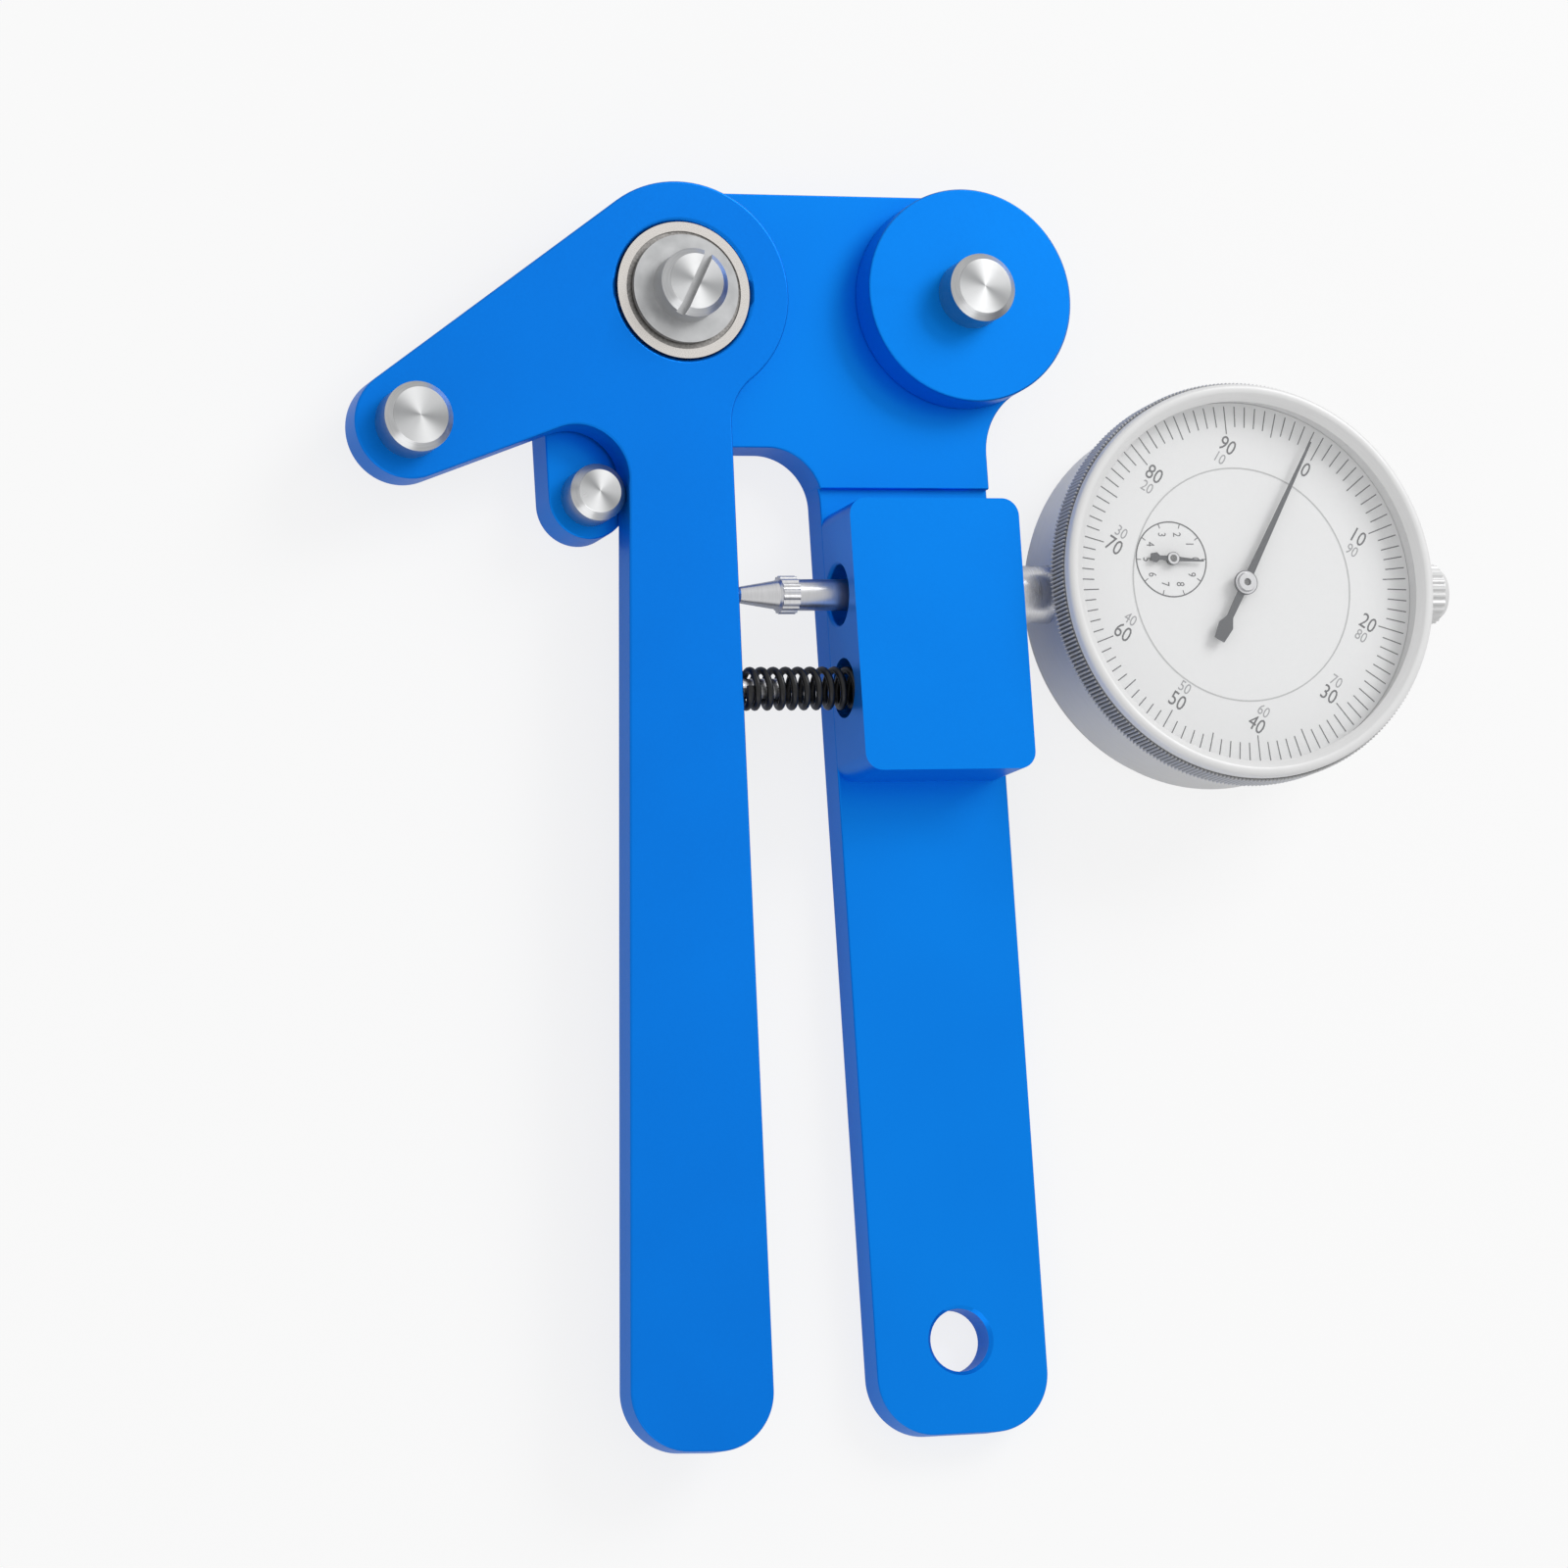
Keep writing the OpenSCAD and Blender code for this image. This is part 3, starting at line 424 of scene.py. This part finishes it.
def numeral(form, text, place, up, tall):
    """A printed number of a given height, centred on its place, with its top towards up."""
    narrow = 0.82
    curve = bpy.data.curves.new("numeral", "FONT")
    curve.body = text
    curve.extrude = 0.01
    curve.resolution_u = 3
    written = bpy.data.objects.new("numeral", curve)
    SCENE.collection.objects.link(written)
    bpy.context.view_layer.update()
    drawn = written.evaluated_get(bpy.context.evaluated_depsgraph_get())
    mesh = bpy.data.meshes.new_from_object(drawn)
    bpy.data.objects.remove(written)
    bpy.data.curves.remove(curve)
    low = Vector([min(v.co[i] for v in mesh.vertices) for i in range(3)])
    high = Vector([max(v.co[i] for v in mesh.vertices) for i in range(3)])
    scale = tall / (high.y - low.y)
    mesh.transform(
        Matrix.Translation(place) @ Matrix.Rotation(up - math.pi / 2, 4, "Z")
        @ Matrix.Diagonal((scale * narrow, scale, INK / (high.z - low.z), 1))
        @ Matrix.Translation(-(low + high) / 2)
    )
    form.from_mesh(mesh)
    bpy.data.meshes.remove(mesh)


# ------------------------------------------------------------------ sizes taken from the frame
def middle(node):
    low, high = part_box(node)
    return (low + high) / 2


def top_of(node):
    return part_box(node)[1].z


dial_low, dial_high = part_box("graduated_ring")
dial_centre = middle("graduated_ring")
dial_centre.z = dial_high.z
small_centre = middle("rack_pinion_wheel")
small_centre.z = dial_high.z
print_z = Vector((0, 0, INK / 2 - INK_SUNK))


# ------------------------------------------------------------------ finishes on the pieces
frame_blue = surface("blue_anodised", blue_anodised((0.0, 0.17, 0.67), (0.0, 0.22, 0.79)))
lever_blue = surface("blue_anodised_lever", blue_anodised((0.0, 0.15, 0.62), (0.0, 0.195, 0.76)))

black_screw = worked_metal((0.02, 0.02, 0.022), (0.06, 0.06, 0.065), 0.38, metallic=0.8)
ground_tube = worked_metal(
    (0.48, 0.48, 0.50), (0.74, 0.74, 0.76), 0.2, 0.1 * MM, RINGS_ROUND_X
)
brass_plate = worked_metal(
    (0.55, 0.40, 0.14), (0.78, 0.62, 0.30), 0.25, stretch=BRUSHED_ALONG_X
)
brass_gear = brass_on_steel_arbor(dial_high.z)
dial_white = lacquer((0.87, 0.87, 0.87), (0.90, 0.90, 0.90), 0.45)

# The direction, in degrees, in which the painted highlight on each post's end is brightest
POST_SHEEN_SWEEPS = {"right_spoke_post": 70, "left_spoke_post": 95, "pivot_post": 84, "stop_post": 60}
FINISHES = {
    post: turned_steel(middle(post), top_of(post) - middle(post).z, sheen_sweep)
    for post, sheen_sweep in POST_SHEEN_SWEEPS.items()
}
FINISHES.update({
    "pivot_shim": worked_metal((0.5, 0.5, 0.51), (0.7, 0.7, 0.72), 0.3),
    "spring_guide_pin": worked_metal((0.5, 0.5, 0.51), (0.7, 0.7, 0.72), 0.25),
    "bearing_inner_ring": worked_metal((0.40, 0.39, 0.37), (0.56, 0.54, 0.52), 0.22),
    "bearing_outer_ring": worked_metal((0.46, 0.44, 0.42), (0.66, 0.63, 0.60), 0.22),
    "bearing_balls": worked_metal((0.7, 0.7, 0.72), (0.85, 0.85, 0.86), 0.08),
    "bearing_shield": worked_metal(
        (0.03, 0.03, 0.03), (0.50, 0.48, 0.46), 0.35, 0.35 * MM, metallic=0.8
    ),
    "ball_cage": lacquer((0.20, 0.15, 0.09), (0.30, 0.23, 0.14), 0.5),
    "block_screws": black_screw,
    "stem_grub_screw": black_screw,
    "cover_screws": worked_metal((0.45, 0.45, 0.46), (0.62, 0.62, 0.64), 0.3),
    "gauge_stem": ground_tube,
    "cap_sleeve": ground_tube,
    "spindle": worked_metal(
        (0.40, 0.40, 0.41), (0.62, 0.62, 0.63), 0.25, 0.1 * MM, RINGS_ROUND_X
    ),
    "contact_point": worked_metal(
        (0.42, 0.42, 0.43), (0.66, 0.66, 0.67), 0.25, 0.1 * MM, RINGS_ROUND_X
    ),
    "gauge_case": worked_metal(
        (0.62, 0.62, 0.62), (0.78, 0.78, 0.78), 0.34, 0.12 * MM, RINGS_ROUND_Z, metallic=0.6
    ),
    "case_back_cover": worked_metal(
        (0.55, 0.55, 0.55), (0.70, 0.70, 0.70), 0.32, 0.12 * MM, BRUSHED_ALONG_X
    ),
    "spindle_cap": worked_metal((0.62, 0.62, 0.62), (0.76, 0.76, 0.76), 0.36, metallic=0.25),
    "lower_movement_plate": brass_plate,
    "upper_movement_plate": brass_plate,
    "rack_pinion_wheel": brass_gear,
    "centre_pinion": brass_gear,
    "fixed_dial": dial_white,
    "graduated_ring": dial_white,
    "main_pointer": hand_lacquer(dial_centre, 1.62 * MM),
    "small_pointer": hand_lacquer(small_centre, 0.85 * MM),
    "crystal": clear_lens,
})
for node, build in FINISHES.items():
    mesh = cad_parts[node].data
    mesh.materials.clear()
    mesh.materials.append(surface(node + "_finish", build))

for node in ("frame_plate", "spacer_disc", "gauge_block"):
    eased_plate(node, "frame", frame_blue)
eased_plate("lever_plate", "lever", lever_blue)


# ------------------------------------------------------------------ the bezel
def fine_bezel():
    """The turning bezel with its fine knurl, round front edge and sloped inside."""
    rib_stands, back_corner, front_round = 0.45 * MM, 0.2 * MM, 0.65 * MM
    glass_play, glass_ledge, inner_corner = 0.1 * MM, 0.15 * MM, 0.07 * MM
    lip_over_dial, bore_inside_dial, ring_play = 0.4 * MM, 0.6 * MM, 0.08 * MM
    low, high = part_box("bezel")
    hub = Vector(((low.x + high.x) / 2, (low.y + high.y) / 2, 0))
    outside = (high.x - low.x) / 2
    body = outside - rib_stands
    glass_low, glass_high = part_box("crystal")
    seat = (glass_high.x - glass_low.x) / 2 + glass_play
    dial_r = (dial_high.x - dial_low.x) / 2
    bore = dial_r - bore_inside_dial
    front = high.z
    form = bmesh.new()
    turned_ring(form, hub, [
        # the back, out to its broken corner
        (bore, low.z), (body - back_corner, low.z), (body, low.z + back_corner),
        # up the side and round the front edge
        (body, front - front_round), (body - 0.1 * MM, front - 0.3 * MM),
        (body - 0.35 * MM, front - inner_corner), (body - front_round, front),
        # in over the front, and down the slope to the lip over the glass
        (seat + glass_ledge, front), (seat, front - inner_corner),
        (dial_r - lip_over_dial, glass_high.z + 0.2 * MM),
        (dial_r - lip_over_dial, glass_high.z + glass_play),
        # round the glass and its ledge
        (seat, glass_high.z + glass_play), (seat, glass_low.z),
        (seat - glass_ledge, glass_low.z),
        # clear of the graduated ring, and back to the bore
        (dial_r + ring_play, dial_high.z + 0.05 * MM), (dial_r + ring_play, dial_low.z),
        (bore, dial_low.z),
    ], 160)
    ribs = 300
    band = (low.z + 0.35 * MM, front - 1.7 * MM)
    band_edge = 0.1 * MM
    rib_r = 2 * math.pi * body / ribs / math.sqrt(3)
    place = (
        Matrix.Translation(hub + Vector((outside - rib_r, 0, (band[0] + band[1]) / 2)))
        @ Matrix.Rotation(-math.pi / 2, 4, "Z")
    )
    rib = bmesh.ops.create_cone(
        form, cap_ends=True, segments=3, radius1=rib_r, radius2=rib_r,
        depth=band[1] - band[0], matrix=place,
    )["verts"]
    bmesh.ops.spin(
        form, geom=with_edges_and_faces(rib), cent=hub, axis=(0, 0, 1),
        angle=2 * math.pi * (ribs - 1) / ribs, steps=ribs - 1, use_duplicate=True,
    )
    # the band whose grooves get the painted shade, a little wider than the ribs
    groove_shade_band = (band[0] - band_edge, band[1] + band_edge)
    satin = surface("bezel_finish", knurled_satin(hub, outside, groove_shade_band))
    made = piece("knurled_bezel", form, "bezel", satin)
    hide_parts("bezel")


fine_bezel()


# ------------------------------------------------------------------ the return spring
def return_spring():
    """Round black wire with closed end turns, in the place of the plain spring."""
    wire, turns, steps = 1.0 * MM, 13, 28
    touching = 1.04
    low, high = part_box("return_spring")
    axis_y, axis_z = (low.y + high.y) / 2, (low.z + high.z) / 2
    coil_r = (high.z - low.z) / 2 - wire / 2
    closed = wire * touching
    open_turns = turns - 2
    pitch = (high.x - low.x - wire - 2 * closed) / open_turns
    centre = Vector((low.x + wire / 2, axis_y, axis_z))
    start = (
        Matrix.Translation(centre + Vector((0, 0, coil_r))) @ Matrix.Rotation(math.pi / 2, 4, "X")
    )
    form = bmesh.new()
    section = bmesh.ops.create_circle(
        form, cap_ends=True, segments=12, radius=wire / 2, matrix=start
    )
    end = with_edges_and_faces(section["verts"])
    for rise, count in ((closed, 1), (pitch, open_turns), (closed, 1)):
        spun = bmesh.ops.spin(
            form, geom=end, cent=centre, axis=(1, 0, 0), dvec=(rise / steps, 0, 0),
            angle=2 * math.pi * count, steps=steps * count, use_merge=False,
        )
        end = spun["geom_last"]
    bmesh.ops.recalc_face_normals(form, faces=form.faces)
    black = surface(
        "spring_black_finish",
        worked_metal((0.006, 0.006, 0.006), (0.03, 0.03, 0.031), 0.3, metallic=0.6),
    )
    wound = piece("return_spring_wire", form, None, black, math.radians(60))
    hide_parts("return_spring")
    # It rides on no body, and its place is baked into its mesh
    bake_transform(wound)


return_spring()


# ------------------------------------------------------------------ the dial's print, and painted shade over its gap
dark_ink = surface("dial_ink", lacquer((0.10, 0.10, 0.105), (0.16, 0.16, 0.165), 0.5))
pale_ink = surface("dial_ink_pale", lacquer((0.34, 0.34, 0.35), (0.44, 0.44, 0.45), 0.5))


def round_the_dial(centre, angle, radius):
    return centre + Vector((math.cos(angle), math.sin(angle), 0)) * radius + print_z


def graduations():
    """A hundred lines, with a longer one at each five and each ten."""
    outer, wide = 25.1 * MM, 0.15 * MM
    inner_ten, inner_five, inner_one = 21.2 * MM, 21.6 * MM, 22.2 * MM
    form = bmesh.new()
    for step in range(100):
        inner = inner_ten if step % 10 == 0 else inner_five if step % 5 == 0 else inner_one
        angle = ZERO_AT - math.radians(ONE_LINE * step)
        tick(form, dial_centre + print_z, angle, inner, outer, wide, INK)
    piece("graduations", form, "bezel", dark_ink)


def graduation_numbers():
    """The numbers clockwise from zero, with the paler reversed ones beside them."""
    radius, tall, beside, small_tall = 19.6 * MM, 2.15 * MM, 2.2 * MM, 1.55 * MM
    main, reversed_ones = bmesh.new(), bmesh.new()
    up = Vector((math.cos(ZERO_AT), math.sin(ZERO_AT), 0))
    for number in range(0, 100, 10):
        angle = ZERO_AT - math.radians(ONE_LINE * number)
        place = round_the_dial(dial_centre, angle, radius)
        numeral(main, str(number), place, ZERO_AT, tall)
        if number:
            side = -1 if (place - dial_centre).dot(up) > 0 else 1
            numeral(
                reversed_ones, str(100 - number), place + up * side * beside, ZERO_AT, small_tall
            )
    piece("graduation_numbers", main, "bezel", dark_ink)
    piece("reversed_numbers", reversed_ones, "bezel", pale_ink)


def dial_edge_line():
    """A fine grey line round the fixed middle of the dial, laid over its gap to the turning ring
    as painted shade of that gap.
    """
    inside_edge, outside_edge = 0.03 * MM, 0.17 * MM
    form = bmesh.new()
    edge = (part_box("fixed_dial")[1].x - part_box("fixed_dial")[0].x) / 2
    ring_on_dial(form, dial_centre, edge - inside_edge, edge + outside_edge, 0.01 * MM, INK)
    # painted shade: a grey sheet over the gap, where there is only shade
    grey = surface("dial_edge_grey", lacquer((0.50, 0.50, 0.50), (0.58, 0.58, 0.58), 0.5))
    piece("dial_edge_line", form, "frame", grey)


def turns_scale():
    """The small scale that counts the turns of the main pointer."""
    ring_in, ring_out, line_in, line_out = 5.15 * MM, 5.33 * MM, 4.55 * MM, 5.2 * MM
    wide, number_r, tall = 0.12 * MM, 3.65 * MM, 1.15 * MM
    form = bmesh.new()
    ring_on_dial(form, small_centre, ring_in, ring_out, 0, INK)
    for number in range(10):
        angle = math.radians(36 * number)
        tick(form, small_centre + print_z, angle, line_in, line_out, wide, INK)
        numeral(form, str(number), round_the_dial(small_centre, angle, number_r), 0, tall)
    piece("turns_scale", form, "frame", dark_ink)


graduations()
graduation_numbers()
dial_edge_line()
turns_scale()


# ------------------------------------------------------------------ bench, lights and camera
def seen_directly(finish, sent_on=1.0):
    """1 for rays from the eye, a share for what metal or glass sends on, 0 for diffuse light."""
    rays = finish.node("ShaderNodeLightPath", {}, {}, "Is Camera Ray")
    glossy = rays.output("Is Glossy Ray")
    through = rays.output("Is Transmission Ray")
    return (rays + sent_on * (glossy + through)).clamped()


def white_bench():
    """A wide white sheet just under the object."""
    half_size, under = 6.0, 0.05 * MM
    form = bmesh.new()
    bmesh.ops.create_grid(form, x_segments=2, y_segments=2, size=half_size)
    mesh = bpy.data.meshes.new("bench")
    form.to_mesh(mesh)
    form.free()
    mesh.transform(Matrix.Translation((0, 0, cad_box[0].z - under)))
    bench = bpy.data.objects.new("bench", mesh)
    SCENE.collection.objects.link(bench)
    material = bpy.data.materials.new("white_bench")
    material.use_nodes = True
    finish = Finish(material.node_tree)
    matt = finish.node("ShaderNodeBsdfDiffuse", {}, {"Color": (0.86, 0.86, 0.86, 1)})
    glow = finish.node("ShaderNodeEmission", {}, {"Color": (1, 1, 1, 1), "Strength": 1.0})
    white = 0.8 * seen_directly(finish, 0.3)
    both = finish.node("ShaderNodeMixShader", {}, {0: white, 1: matt, 2: glow})
    finish.node("ShaderNodeOutputMaterial", {}, {"Surface": both})
    mesh.materials.append(material)


def studio():
    """A white room and two soft lights."""
    world = bpy.data.worlds.new("studio")
    world.use_nodes = True
    SCENE.world = world
    finish = Finish(world.node_tree)
    strength = 0.6 + 0.4 * seen_directly(finish)
    sky = finish.node("ShaderNodeBackground", {}, {"Color": (1, 1, 1, 1), "Strength": strength})
    finish.node("ShaderNodeOutputWorld", {}, {"Surface": sky})
    lamp("key", 7.0, 0.6, 0.6, (0.78, 0.62, 0.75))
    lamp("edge_light", 1.1, 0.8, 0.25, (-0.44, -0.88, 0.35))


def lamp(name, watts, wide, tall, place):
    """A soft light of that width and height, turned to the middle of the object."""
    light = bpy.data.lights.new(name, "AREA")
    light.shape = "RECTANGLE"
    light.energy, light.size, light.size_y = watts, wide, tall
    held = bpy.data.objects.new(name, light)
    SCENE.collection.objects.link(held)
    held.location = place
    aim = (cad_box[0] + cad_box[1]) / 2 - held.location
    held.rotation_euler = aim.to_track_quat("-Z", "Y").to_euler()


def camera():
    """The photograph's view, solved from the object's circles and straight edges."""
    picture, focal = 1600, 6273.98
    distance = 834.636 * MM
    bearing_seen = (697.86, 295.794)
    bearing_top = Vector((0, 0, 11.4 * MM))
    turned = (
        Matrix.Rotation(math.radians(-9.34876), 3, "X")
        @ Matrix.Rotation(math.radians(20.01573), 3, "Y")
        @ Matrix.Rotation(math.radians(3.9), 3, "Z")
    ).transposed()
    across = (bearing_seen[0] - picture / 2) * distance / focal
    upward = -(bearing_seen[1] - picture / 2) * distance / focal
    lens = bpy.data.cameras.new("camera")
    lens.sensor_width = 36
    lens.lens = focal * lens.sensor_width / picture
    lens.clip_start, lens.clip_end = 0.05, 20
    eye = bpy.data.objects.new("camera", lens)
    SCENE.collection.objects.link(eye)
    place = bearing_top - turned @ Vector((across, upward, -distance))
    eye.matrix_world = Matrix.Translation(place) @ turned.to_4x4()
    SCENE.camera = eye


white_bench()
studio()
camera()
SCENE.view_settings.view_transform = "Standard"
